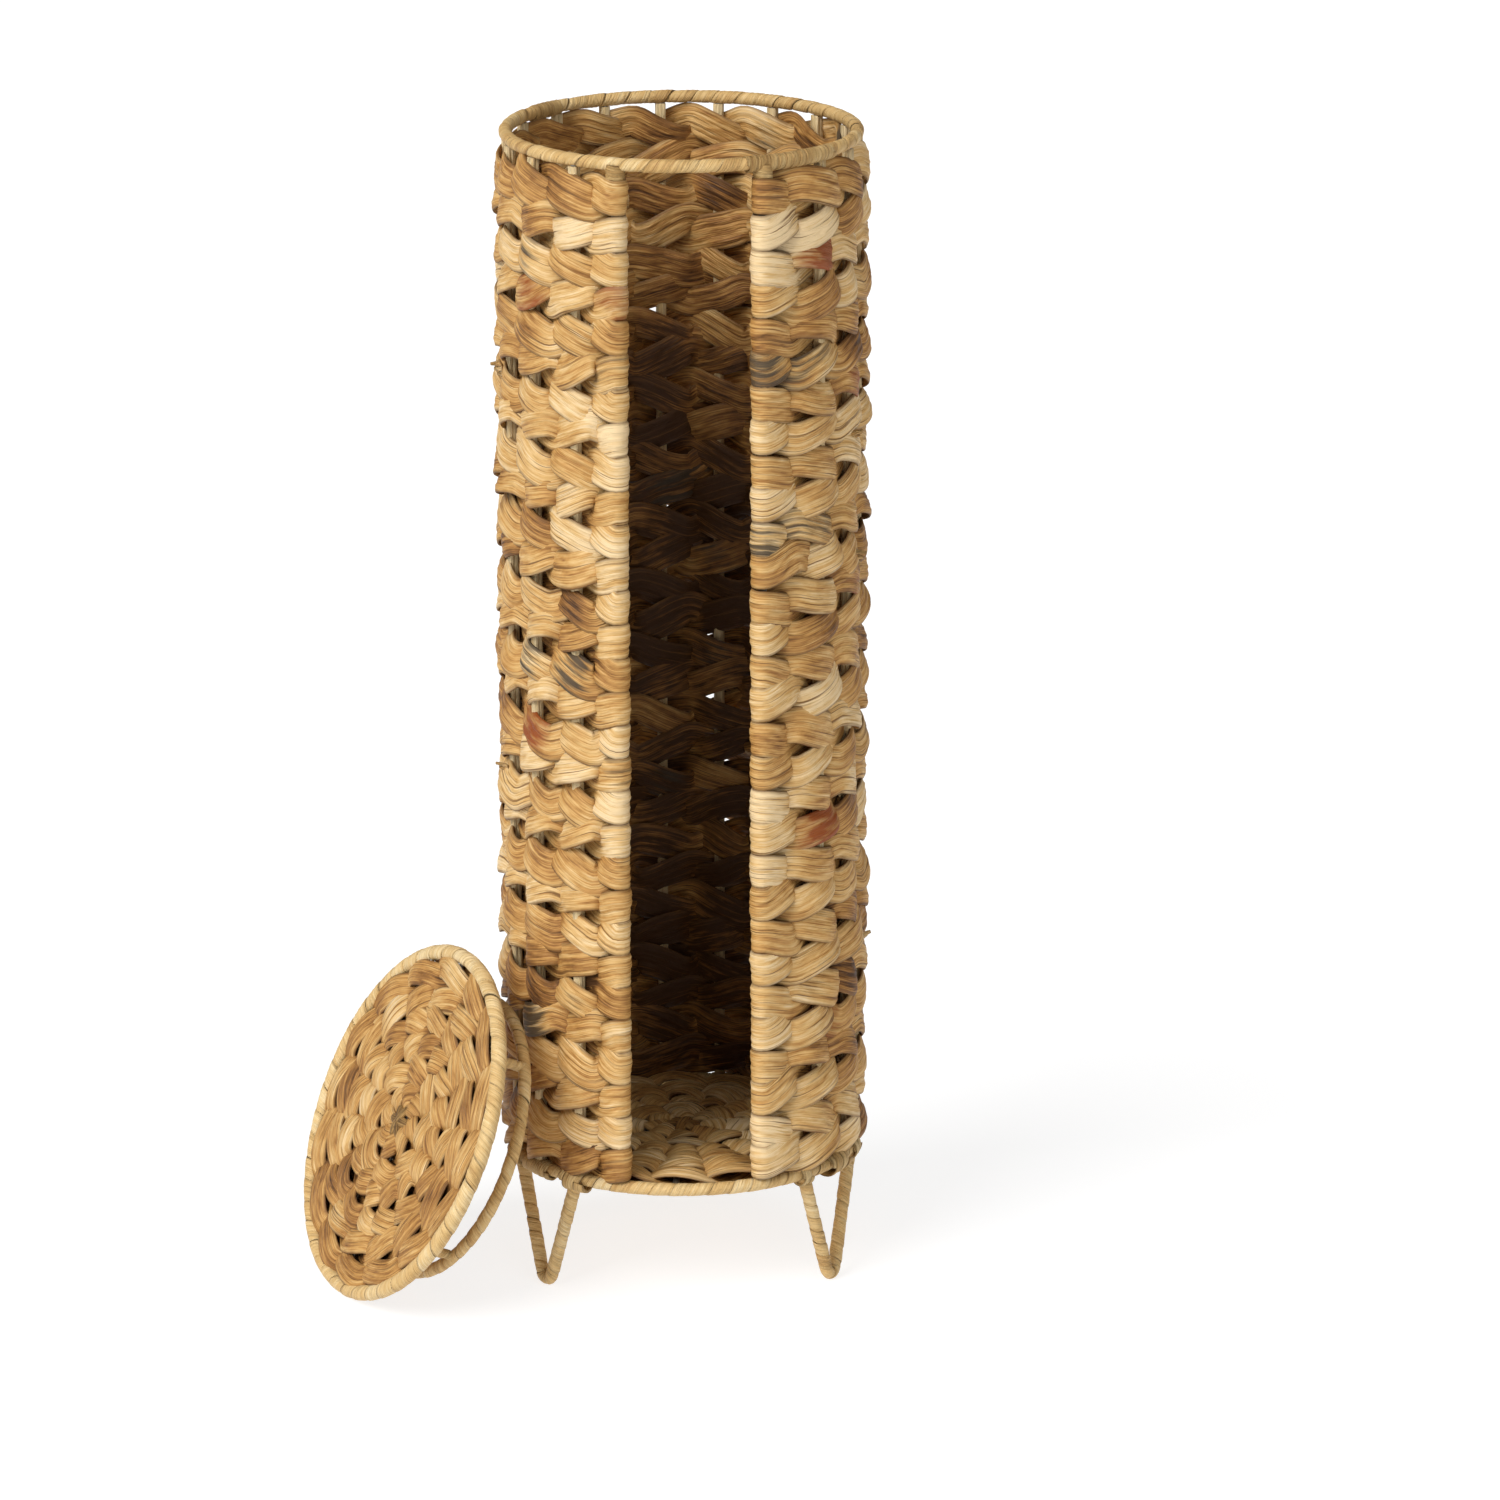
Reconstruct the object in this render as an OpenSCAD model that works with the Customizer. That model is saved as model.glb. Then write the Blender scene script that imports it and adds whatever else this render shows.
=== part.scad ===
// Woven toilet roll storage holder: a round wire frame on three hairpin legs, twined with broad plant strands,
// open in a slot at the front, with a woven lid that has been lifted off and leans against the left side.
// The origin is on the floor under the middle of the holder. +Z is up and the front slot faces -Y.
// Bearings are degrees around the holder, counted from the slot, positive towards the right (+X).

/* [Frame] */
// Height of the upper ring's top above the floor
overall_h = 528; // [430:1:640]
// Radius of the circle on which the ring wires, uprights and posts are centred
frame_r = 78; // [72:0.5:90]
// Diameter of the two ring wires
ring_wire_d = 4.4; // [4.2:0.1:4.8]
// Diameter of a ring over its wrapping
ring_wrap_d = 6.2; // [5.8:0.2:7.4]
// Height of the lower ring's wire above the floor
ring_lift = 55.4; // [46:0.2:80]
// Number of uprights between the two posts, around the back
upright_count = 15; // [11:2:17]
// How far round the uprights are set from even spacing, in degrees
upright_shift = 4.3; // [0:0.1:5]
// Diameter of an upright wire
upright_wire_d = 3; // [2:0.5:3.5]
// Diameter of an upright over its wrapping
upright_wrap_d = 4.6; // [4.4:0.2:5.6]

/* [Front slot] */
// Clear width of the slot between the wrapped posts
slot_w = 53; // [44:1:66]
// Diameter of a post wire
post_wire_d = 3.6; // [3:0.2:4]
// Diameter of a post where the strands turn round it
post_wrap_d = 11.3; // [9.3:0.5:12.3]

/* [Woven wall] */
// Number of twined courses from the lower ring to the upper one
course_count = 30; // [22:1:30]
// Thickness of the wall at the middle of a course
wall_t = 11; // [9:0.5:13]
// How much a course swells past its own seams, on each side
wall_swell = 1.8; // [1:0.1:2.4]
// Gap between the lower ring's wrapping and the first course
sill_gap = 0.3; // [0.3:0.1:2]
// Gap between the last course and the upper ring's wrapping
head_gap = 4.7; // [3:0.1:9]

/* [Woven base] */
// Thickness of the base at the middle of a course
base_t = 12; // [9:0.5:13]
// Height of the base wires above the lower ring's wire
base_raise = 1.4; // [0.4:0.1:1.5]
// Number of courses around the base knot
base_course_count = 6; // [4:1:7]
// Diameter of the knot at the middle of the base
base_knot_d = 17; // [13:1:24]
// Number of wires that run out from the middle of the base to the lower ring
base_wire_count = 8; // [6:1:10]
// How far round the base wires are set from lining up with the slot, in degrees
base_turn = 5.5; // [3:0.5:8]
// Diameter of a base wire
base_wire_d = 3; // [2:0.5:3]

/* [Legs] */
// Diameter of a leg wire
leg_wire_d = 3.8; // [3:0.2:4]
// Diameter of a leg over its wrapping
leg_wrap_d = 6.4; // [5.8:0.2:7]
// Bearing of the two front legs
leg_bearing = 58; // [52:1:62]
// Angle around the lower ring between the two tops of a leg
leg_spread = 34; // [26:1:40]
// Radius of the foot bend, on the wire's centre line
foot_bend_r = 4.2; // [3.8:0.1:7]
// Distance of a foot from the holder's middle
foot_r = 80; // [74:0.5:92]
// How far a front foot is bent towards the slot
foot_shift = 5.5; // [0:0.5:8]
// Diameter of a lashing where a leg meets the ring
lashing_d = 8.6; // [7.8:0.2:9.6]
// Angle around the ring that a lashing covers
lashing_angle = 6; // [4:0.5:8]

/* [Lid] */
// Radius of the lid's rim, on its wire
lid_r = 79.8; // [76:0.2:92]
// Diameter of the lid's rim wire
lid_wire_d = 4; // [3.4:0.2:5]
// Diameter of the lid's rim over its wrapping
lid_wrap_d = 7.4; // [6.6:0.2:8.6]
// Thickness of the woven disc at the middle of a course
lid_t = 9; // [7.4:0.2:11]
// Number of courses around the lid knot
lid_course_count = 6; // [5:1:6]
// Diameter of the knot at the middle of the lid
lid_knot_d = 14; // [12:1:20]
// How much a course of the lid or the base swells past its own seams
disc_swell = 1.3; // [0.8:0.1:2]
// Diameter of a wire spoke in the lid
lid_spoke_d = 2.4; // [2:0.2:3]
// Number of wire spokes at the lid's rim, half of which reach its middle
lid_spoke_count = 16; // [12:4:16]
// Radius of the locating ring that drops inside the holder's mouth, on its wire
locating_r = 64.4; // [58:0.2:67]
// Depth of the locating ring's wire below the lid's rim wire
locating_drop = 23.7; // [16:0.1:34]
// Diameter of the locating ring's wire
locating_wire_d = 3.2; // [2.8:0.2:4]
// Diameter of the locating ring over its wrapping
locating_wrap_d = 6; // [5.4:0.2:6.6]
// Number of wires that hold the locating ring to the lid
stay_count = 4; // [4:4:8]
// Diameter of a stay wire
stay_wire_d = 2.6; // [2:0.2:2.6]
// Diameter of a stay over its wrapping
stay_wrap_d = 5.2; // [4.4:0.2:5.2]

/* [Where the lid leans] */
// Bearing, to the left of the slot, of the lid's middle
lid_bearing = 73.2; // [60:0.1:90]
// How far the lid's top face is tipped up from facing level
lid_lean = 23.8; // [14:0.1:34]
// How far the lid is turned on from facing straight out
lid_turn = 5.7; // [0:0.1:10]
// How far the lid is rolled round on its own axis
lid_roll = 24; // [0:1:90]

/* [Fits] */
// Clearance all round a wire in its wrapping or in the weave
wire_fit = 0.05; // [0.03:0.01:0.1]
// Gap between neighbouring courses
course_gap = 0.1; // [0.05:0.05:0.3]
// Gap between the base and the wall around it
base_gap = 0.5; // [0.3:0.1:1.5]
// Gap between the leaning lid and the wall
lean_gap = 0.4; // [0.3:0.1:1]

/* [Hidden] */
$fn = 96;
straw = "#c9a56b";
strand = "#b58a4c";
dark_strand = "#a4783c";
steel = "#8d8f92";
cut_past = 1;
front = -90;

ring_z = overall_h - ring_wrap_d / 2;
wall_z = ring_lift + ring_wrap_d / 2 + sill_gap;
wall_top = ring_z - ring_wrap_d / 2 - head_gap;
course_h = (wall_top - wall_z) / course_count;
wall_in_r = frame_r - wall_t / 2;
wall_out_r = frame_r + wall_t / 2;

post_bearing = asin((slot_w + post_wrap_d) / 2 / frame_r);
upright_pitch = (360 - 2 * post_bearing) / (upright_count + 1);
upright_bearings = [for (i = [1:upright_count]) post_bearing + i * upright_pitch + upright_shift];

base_z = ring_lift + base_raise;
base_r = wall_in_r - base_gap;
base_course_w = (base_r - base_knot_d / 2) / base_course_count;
base_wire_bearings = [for (i = [1:base_wire_count]) i * 360 / base_wire_count - base_turn];

legs = [[-leg_bearing, foot_shift], [leg_bearing, -foot_shift], [180, 0]];
half_chord = frame_r * sin(leg_spread / 2);
chord_r = frame_r * cos(leg_spread / 2);
bend_swell = 0.06;
bend_lap = 0.4;
foot_z = (leg_wrap_d + bend_swell) / 2;
leg_tilt = atan2(foot_r - chord_r, ring_lift - foot_z);
leg_rise = norm([foot_r - chord_r, ring_lift - foot_z]);
lashing_drop = (lashing_d - ring_wrap_d) / 2;
// Share of a leg's side above which it is cut out of what it passes through
leg_top_share = 0.75;
// Heavier patches of wrapping on the upper ring: each one's bearing and the angle it covers
rim_patches = [[36, 36], [-130, 14]];
rim_patch_d = ring_wrap_d + 1.2;
post_binding_d = post_wrap_d - 2;
// How much a weld stands thicker than its wires, and how far the wires run into it
weld_stand = 1;
weld_lap = 2;
base_weld_d = 12;
lid_weld_d = 12;

lid_disc_r = lid_r - lid_wrap_d / 2 - course_gap;
lid_course_w = (lid_disc_r - lid_knot_d / 2) / lid_course_count;
lid_spoke_pitch = 360 / lid_spoke_count;
lid_short_start = lid_knot_d / 2 + 2 * lid_course_w;
stay_pitch = 360 / stay_count;

// The lid's direction in plan and its height, with its rim on the floor
lid_face = front - lid_bearing + lid_turn;
lid_normal = [cos(lid_lean) * cos(lid_face), cos(lid_lean) * sin(lid_face), sin(lid_lean)];
lid_across = [-sin(lid_face), cos(lid_face), 0];
lid_upward = cross(lid_normal, lid_across);
lid_z = lid_r * cos(lid_lean) + lid_wrap_d / 2;

// The lid's middle is as near to the holder as its locating ring lets it come
function lid_at(reach) = [reach * cos(front - lid_bearing), reach * sin(front - lid_bearing), lid_z];
function locating_point(reach, a) =
    lid_at(reach) - locating_drop * lid_normal + locating_r * (cos(a) * lid_across + sin(a) * lid_upward);
function nearest(reach) = min([for (a = [0:1:359]) norm([locating_point(reach, a).x, locating_point(reach, a).y])]);
lean_r = wall_out_r + lean_gap + locating_wrap_d / 2;
first_reach = lean_r + locating_drop * cos(lid_lean) + locating_r * sin(lid_lean);
second_reach = first_reach + lean_r - nearest(first_reach);
lid_reach = second_reach + lean_r - nearest(second_reach);

function two_digits(i) = str(i < 10 ? "0" : "", i);
function wall_course_name(i) = str("weave_course_", two_digits(i));
function lid_course_name(i) = str("lid_course_", i);

// Turns children so that what faces the slot faces the given bearing
module at_bearing(bearing) rotate([0, 0, bearing]) children();

module torus(ring_r, tube_d) rotate_extrude() translate([ring_r, 0]) circle(d = tube_d);

// Part of a ring of tube, centred on the slot
module hollow_arc(ring_r, tube_d, hole_d, angle, drop)
    at_bearing(front - angle / 2)
        rotate_extrude(angle = angle)
            translate([ring_r, 0])
                difference() {
                    translate([0, -drop]) circle(d = tube_d);
                    circle(d = hole_d);
                }

// A rod standing on the frame's circle, from one height to another
module frame_rod(bearing, d, from, to)
    at_bearing(bearing)
        translate([0, -frame_r, from])
            cylinder(d = d, h = to - from);

// The section of a course: flat where it meets its neighbours, swelling on its two open sides
module course_section(across, height, swell) {
    arc_r = (swell * swell + height * height / 4) / (2 * swell);
    intersection() {
        square([across + 2 * cut_past, height], center = true);
        translate([across / 2 - arc_r, 0]) circle(r = arc_r);
        translate([arc_r - across / 2, 0]) circle(r = arc_r);
    }
}

// Frame of the holder

module ring_uprights(gap, from, to) {
    for (b = upright_bearings) frame_rod(b, upright_wire_d + gap, from, to);
    for (b = [-post_bearing, post_bearing]) frame_rod(b, post_wire_d + gap, from, to);
}

module bottom_ring() color(steel) translate([0, 0, ring_lift]) torus(frame_r, ring_wire_d);

module top_ring() color(steel) translate([0, 0, ring_z]) torus(frame_r, ring_wire_d);

module bottom_ring_wrap() color(straw) difference() {
    translate([0, 0, ring_lift]) torus(frame_r, ring_wrap_d);
    translate([0, 0, ring_lift]) torus(frame_r, ring_wire_d + 2 * wire_fit);
    ring_uprights(2 * wire_fit, ring_lift, ring_lift + ring_wrap_d);
    base_wire_star(2 * wire_fit, frame_r);
    leg_tops(leg_wire_d + 2 * wire_fit);
}

module top_ring_wrap() color(straw) difference() {
    translate([0, 0, ring_z]) torus(frame_r, ring_wrap_d);
    translate([0, 0, ring_z]) torus(frame_r, ring_wire_d + 2 * wire_fit);
    ring_uprights(2 * wire_fit, ring_z - ring_wrap_d, ring_z);
}

module uprights() color(steel)
    for (b = upright_bearings)
        frame_rod(b, upright_wire_d, ring_lift + ring_wire_d / 2, ring_z - ring_wire_d / 2);

module upright_wraps() color(straw)
    for (b = upright_bearings) difference() {
        frame_rod(b, upright_wrap_d, ring_lift + ring_wrap_d / 2, ring_z - ring_wrap_d / 2);
        frame_rod(b, upright_wire_d + 2 * wire_fit, ring_lift, ring_z);
    }

module post(bearing) color(steel)
    frame_rod(bearing, post_wire_d, ring_lift + ring_wire_d / 2, ring_z - ring_wire_d / 2);

// Woven wall

module weave_course(i) color(i % 2 == 0 ? strand : dark_strand) {
    from = wall_z + (i - 1) * course_h;
    to = from + course_h;
    difference() {
        union() {
            translate([0, 0, (from + to) / 2])
                at_bearing(front + post_bearing)
                    rotate_extrude(angle = 360 - 2 * post_bearing)
                        translate([frame_r, 0])
                            course_section(wall_t, course_h - course_gap, wall_swell);
            for (b = [-post_bearing, post_bearing]) frame_rod(b, post_wrap_d, from, to);
        }
        for (b = upright_bearings) frame_rod(b, upright_wrap_d + 2 * wire_fit, from - cut_past, to + cut_past);
        for (b = [-post_bearing, post_bearing])
            frame_rod(b, post_wire_d + 2 * wire_fit, from - cut_past, to + cut_past);
    }
}

// Wires that run out from the weld in the middle of a disc, as far as end_r
module wire_star(bearings, d, weld_d, end_r) {
    cylinder(d = weld_d, h = d + weld_stand, center = true);
    for (b = bearings)
        at_bearing(b)
            rotate([90, 0, 0])
                translate([0, 0, weld_d / 2 - weld_lap])
                    cylinder(d = d, h = end_r - weld_d / 2 + weld_lap);
}

// Woven base

module base_wire_star(gap, end_r)
    translate([0, 0, base_z])
        wire_star(base_wire_bearings, base_wire_d + gap, base_weld_d + gap, end_r);

module base_wires() color(steel) base_wire_star(0, frame_r - ring_wire_d / 2);

module base_weave() color(strand) difference() {
    translate([0, 0, base_z]) {
        cylinder(d = base_knot_d, h = base_t, center = true);
        for (i = [1:base_course_count])
            disc_course(base_knot_d / 2 + (i - 1) * base_course_w, base_course_w, base_t);
    }
    base_wire_star(2 * wire_fit, frame_r);
}

// One course round a disc, with its seams on cylinders
module disc_course(from_r, width, thick)
    rotate_extrude()
        translate([from_r + (width + course_gap) / 2, 0])
            rotate([0, 0, 90])
                course_section(thick, width - course_gap, disc_swell);

// Legs

module leg_at(bearing)
    at_bearing(bearing)
        translate([0, -foot_r, foot_z])
            rotate([90 - leg_tilt, 0, 0])
                children();

// Angle on the foot bend where a leg's straight side leaves it, and the point there
function leg_top(side) = [side * half_chord, leg_rise];
function bend_middle(shift) = [shift, foot_bend_r];
function leave_angle(shift, side) =
    let (d = leg_top(side) - bend_middle(shift)) atan2(d.y, d.x) - side * acos(foot_bend_r / norm(d));
function leave_point(shift, side) =
    bend_middle(shift) + foot_bend_r * [cos(leave_angle(shift, side)), sin(leave_angle(shift, side))];

// A straight rod in the plane of a leg, from share 0 at the bend to 1 at the ring, with a little more at each end
module leg_side(shift, side, d, share, before, after) {
    run = leg_top(side) - leave_point(shift, side);
    translate(leave_point(shift, side) + share * run)
        rotate([0, 0, atan2(run.y, run.x)])
            rotate([0, 90, 0])
                translate([0, 0, -before])
                    cylinder(d = d, h = (1 - share) * norm(run) + before + after);
}

// The upper part of every leg's sides, for cutting what they pass through
module leg_tops(d)
    for (leg = legs, side = [-1, 1])
        leg_at(leg[0]) leg_side(leg[1], side, d, leg_top_share, 0, 0);

// A whole hairpin, whose bend is a hair thicker than its sides and takes them in a little
module hairpin(shift, d) {
    for (side = [-1, 1]) leg_side(shift, side, d, 0, bend_lap, ring_wrap_d);
    translate(bend_middle(shift))
        rotate([0, 0, leave_angle(shift, -1)])
            rotate_extrude(angle = leave_angle(shift, 1) + 360 - leave_angle(shift, -1))
                translate([foot_bend_r, 0])
                    circle(d = d + bend_swell);
}

// A hairpin at a bearing, cut off level at the given height
module hairpin_leg(leg, d, top)
    difference() {
        leg_at(leg[0]) hairpin(leg[1], d);
        translate([-2 * foot_r, -2 * foot_r, top]) cube([4 * foot_r, 4 * foot_r, 4 * ring_wrap_d]);
    }

module leg_wire(leg) color(steel) hairpin_leg(leg, leg_wire_d, ring_lift - ring_wire_d / 2);

module leg_wrap(leg) color(straw) difference() {
    hairpin_leg(leg, leg_wrap_d, ring_lift - ring_wrap_d / 2);
    leg_at(leg[0]) hairpin(leg[1], leg_wire_d + 2 * wire_fit);
}

// Lashings

module leg_lashings() color(dark_strand)
    for (b = [for (leg = legs, side = [-1, 1]) leg[0] + side * leg_spread / 2])
        difference() {
            translate([0, 0, ring_lift])
                at_bearing(b)
                    hollow_arc(frame_r, lashing_d, ring_wrap_d + 2 * wire_fit, lashing_angle, lashing_drop);
            leg_tops(leg_wrap_d + 2 * wire_fit);
            base_wire_star(2 * wire_fit, frame_r);
        }

module post_bindings(gap, top)
    for (b = [-post_bearing, post_bearing])
        frame_rod(b, post_binding_d + gap, wall_top, top);

module rim_lashings() color(dark_strand) {
    difference() {
        post_bindings(0, ring_z - ring_wrap_d / 2);
        ring_uprights(2 * wire_fit, wall_z, ring_z);
    }
    for (patch = rim_patches) difference() {
        translate([0, 0, ring_z])
            at_bearing(patch[0])
                hollow_arc(frame_r, rim_patch_d, ring_wrap_d + 2 * wire_fit, patch[1], (rim_patch_d - ring_wrap_d) / 2);
        for (b = upright_bearings) frame_rod(b, upright_wrap_d + 2 * wire_fit, wall_top, ring_z);
        post_bindings(2 * wire_fit, ring_z);
    }
}

// Lid, drawn level around its own middle and then leaned against the holder

module leaned()
    translate(lid_at(lid_reach))
        rotate([0, 90 - lid_lean, lid_face])
            rotate([0, 0, lid_roll])
                children();

module lid_rim() color(steel) leaned() torus(lid_r, lid_wire_d);

module lid_rim_wrap() color(straw) leaned() difference() {
    torus(lid_r, lid_wrap_d);
    torus(lid_r, lid_wire_d + 2 * wire_fit);
    spoke_rods(2 * wire_fit, lid_r);
}

// Every other spoke starts from the weld in the middle, and the rest start outside the second course
module spoke_rods(gap, end_r) {
    wire_star([for (i = [1:2:lid_spoke_count]) i * lid_spoke_pitch], lid_spoke_d + gap, lid_weld_d + gap, end_r);
    for (i = [2:2:lid_spoke_count])
        at_bearing(i * lid_spoke_pitch)
            rotate([90, 0, 0])
                translate([0, 0, lid_short_start])
                    cylinder(d = lid_spoke_d + gap, h = end_r - lid_short_start);
}

module lid_spokes() color(steel) leaned() spoke_rods(0, lid_r - lid_wire_d / 2);

// The stays stand under spokes
module stay_rods(d, top)
    for (i = [1:stay_count])
        at_bearing(lid_spoke_pitch + i * stay_pitch)
            translate([0, -locating_r, -locating_drop])
                cylinder(d = d, h = top + locating_drop);

module lid_knot() color(dark_strand) leaned() difference() {
    cylinder(d = lid_knot_d, h = lid_t, center = true);
    spoke_rods(2 * wire_fit, lid_r);
}

module lid_course(i) color(i % 2 == 0 ? strand : straw) leaned() difference() {
    disc_course(lid_knot_d / 2 + (i - 1) * lid_course_w, lid_course_w, lid_t);
    spoke_rods(2 * wire_fit, lid_r);
    stay_rods(stay_wire_d + 2 * wire_fit, 0);
}

module locating_frame() color(steel) leaned() {
    translate([0, 0, -locating_drop]) torus(locating_r, locating_wire_d);
    stay_rods(stay_wire_d, -lid_spoke_d / 2);
}

module locating_frame_wrap() color(straw) leaned() difference() {
    union() {
        translate([0, 0, -locating_drop]) torus(locating_r, locating_wrap_d);
        stay_rods(stay_wrap_d, -lid_t / 2);
    }
    translate([0, 0, -locating_drop]) torus(locating_r, locating_wire_d + 2 * wire_fit);
    stay_rods(stay_wire_d + 2 * wire_fit, 0);
}

bottom_ring();
bottom_ring_wrap();
top_ring();
top_ring_wrap();
uprights();
upright_wraps();
post(-post_bearing);  // left_post
post(post_bearing);  // right_post
for (i = [1:course_count]) weave_course(i);
base_wires();
base_weave();
leg_wire(legs[0]);  // front_left_leg
leg_wire(legs[1]);  // front_right_leg
leg_wire(legs[2]);  // rear_leg
leg_wrap(legs[0]);  // front_left_leg_wrap
leg_wrap(legs[1]);  // front_right_leg_wrap
leg_wrap(legs[2]);  // rear_leg_wrap
leg_lashings();
rim_lashings();
lid_rim();
lid_rim_wrap();
lid_spokes();
lid_knot();
for (i = [1:lid_course_count]) lid_course(i);
locating_frame();
locating_frame_wrap();
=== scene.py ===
"""Looks of a tall woven holder: flat strands of dried water hyacinth twined round a wire frame.

Every visible surface is a strand: a line through space with a flat, creased section carried along it. The
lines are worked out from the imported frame, so the weave sits on the uprights, posts, rings, legs and spokes
that carry it. Lengths are in metres. Bearings are degrees around the holder, from the slot towards +X.
"""

import math

import bpy
import numpy as np
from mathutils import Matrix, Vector

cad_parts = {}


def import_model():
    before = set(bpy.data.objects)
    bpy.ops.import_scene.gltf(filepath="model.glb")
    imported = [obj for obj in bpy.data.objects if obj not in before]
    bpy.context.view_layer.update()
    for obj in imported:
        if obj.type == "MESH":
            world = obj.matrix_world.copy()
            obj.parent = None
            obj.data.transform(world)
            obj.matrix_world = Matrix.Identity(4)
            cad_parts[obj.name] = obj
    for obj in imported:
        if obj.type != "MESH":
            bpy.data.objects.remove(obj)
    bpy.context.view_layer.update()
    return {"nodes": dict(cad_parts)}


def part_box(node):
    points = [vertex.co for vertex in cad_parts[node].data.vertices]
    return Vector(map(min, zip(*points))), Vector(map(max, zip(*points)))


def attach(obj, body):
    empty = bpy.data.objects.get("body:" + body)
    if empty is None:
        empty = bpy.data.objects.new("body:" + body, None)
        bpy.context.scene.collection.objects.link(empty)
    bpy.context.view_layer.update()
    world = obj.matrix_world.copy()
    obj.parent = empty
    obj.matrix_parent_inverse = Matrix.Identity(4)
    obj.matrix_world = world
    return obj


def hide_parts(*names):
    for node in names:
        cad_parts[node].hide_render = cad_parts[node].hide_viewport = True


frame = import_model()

MM = 0.001
SEED = 7
UP = np.array([0, 0, 1.0])


# What the frame says

def node_points(node):
    """The vertices of a CAD node, one row each."""
    mesh = frame["nodes"][node].data
    points = np.empty(len(mesh.vertices) * 3)
    mesh.vertices.foreach_get("co", points)
    return points.reshape(-1, 3)


def unit(vectors):
    """Vectors of length 1 in the same directions."""
    return vectors / np.linalg.norm(vectors, axis=-1, keepdims=True)


def square_to(axis):
    """Two unit vectors square to an axis and to each other. The second is the axis crossed with the first."""
    first = unit(np.cross(axis, UP) if abs(axis[2]) < 0.9 else np.array([1.0, 0, 0]))
    return first, np.cross(axis, first)


def ring_of(node):
    """Centre, axis, radius and tube diameter of a round ring. Its points spread least along the axis."""
    points = node_points(node)
    centre = (points.min(0) + points.max(0)) / 2
    axis = np.linalg.svd(points - centre, full_matrices=False)[2][2]
    axis = axis * (1 if axis[2] > 0 else -1)
    height = (points - centre) @ axis
    reach = np.linalg.norm(points - centre - height[:, None] * axis, axis=1).max()
    tube = height.max() - height.min()
    return centre, axis, reach - tube / 2, tube


def middles(angles, gap=4.0):
    """The middle of each group of angles that lies more than gap degrees from the next, from 0 to 360."""
    angles = np.sort(np.mod(angles, 360))
    first = np.argmax(np.diff(np.r_[angles, angles[0] + 360])) + 1
    angles = np.r_[angles[first:], angles[:first] + 360]
    groups = np.split(angles, np.flatnonzero(np.diff(angles) > gap) + 1)
    return np.sort([np.mod((g[0] + g[-1]) / 2, 360) for g in groups])


def bearings_of(node):
    """Bearings of the upright rods in a node."""
    points = node_points(node)
    return middles(np.degrees(np.arctan2(points[:, 0], -points[:, 1])))


def plan(bearings):
    """Unit vectors outward and around at bearings."""
    a = np.radians(bearings)
    flat = np.zeros_like(a)
    return np.stack([np.sin(a), -np.cos(a), flat], -1), np.stack([np.cos(a), np.sin(a), flat], -1)


TOP_RING = ring_of("top_ring")
BOTTOM_RING = ring_of("bottom_ring")
FRAME_R = BOTTOM_RING[2]
UPRIGHTS = bearings_of("uprights")
RIGHT_POST = bearings_of("right_post")[0]
LEFT_POST = bearings_of("left_post")[0]
WALL_NODES = sorted(n for n in frame["nodes"] if n.startswith("weave_course_"))
COURSE_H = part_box(WALL_NODES[0])[1].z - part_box(WALL_NODES[0])[0].z


# Strands

# Spacing of the rows along a strand, and the number of points round its section
STEP = 2.0 * MM
SIDES = 40
# Half the width over which the streaks of every strand are laid out
STREAK_HALF = 8 * MM
# Broad and fine pleats across a strand, as the turn of their waves over half its width
PLEAT_TURN = 1.9 * np.pi
FINE_PLEAT_TURN = 3.4 * np.pi
# What rounds the bottoms of the pleats, and what is taken off them so that they add next to no thickness
PLEAT_ROUNDING = 0.04
PLEAT_MEAN = 0.95
# Width at which pleats and fold have their full depth
FULL_WIDTH = 12 * MM
# Samples from one upright or spoke to the next, and from a spoke to the seam of a disc's strand
PER_STOP = 24
DISC_SEAM = 14


def eased(values, at):
    """Values that hold at whole steps round a loop, eased between them with 3f^2 - 2f^3."""
    whole = np.floor(at).astype(int)
    f = at - whole
    f = f * f * (3 - 2 * f)
    values = np.asarray(values)
    here, there = values[whole % len(values)], values[(whole + 1) % len(values)]
    if values.ndim > 1:
        f = f[:, None]
    return here + (there - here) * f


def smoothed(values, samples):
    """Values round a loop, each a bell-weighted mean of its neighbours over about so many samples."""
    reach = int(3 * samples)
    weights = np.exp(-0.5 * (np.arange(-reach, reach + 1) / samples) ** 2)
    weights /= weights.sum()
    return sum(w * np.roll(values, k, axis=0) for k, w in zip(range(-reach, reach + 1), weights))


def spaced(points, channels, step, closed):
    """The line with its points step apart, what is told along it carried over, and the length up to each."""
    line = np.vstack([points, points[:1]]) if closed else points
    run = np.r_[0, np.cumsum(np.linalg.norm(np.diff(line, axis=0), axis=1))]
    count = max(int(round(run[-1] / step)), 6)
    at = np.linspace(0, run[-1], count, endpoint=not closed)

    def carried(values):
        values = np.asarray(values, float)
        if values.ndim == 0:
            return np.full(count, float(values))
        if closed:
            values = np.concatenate([values, values[:1]])
        if values.ndim == 1:
            return np.interp(at, run, values)
        return np.stack([np.interp(at, run, column) for column in values.T], 1)

    return carried(points), {k: carried(v) for k, v in channels.items()}, np.r_[at, run[-1]] if closed else at


def flat_section(sides):
    """Points round a flat section: x from edge to edge on one face and back on the other, y (1 - x^4)^0.6.

    The third row runs all the way round in the same measure as x, for streaks that don't break at an edge.
    """
    half = sides // 2
    q = -1 + 2 * np.arange(half) / half
    x = 0.55 * np.sin(q * np.pi / 2) + 0.45 * q
    y = np.clip(1 - x ** 4, 0, 1) ** 0.6
    return np.r_[x, -x], np.r_[y, -y], np.r_[x, 2 + x, 3]


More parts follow.
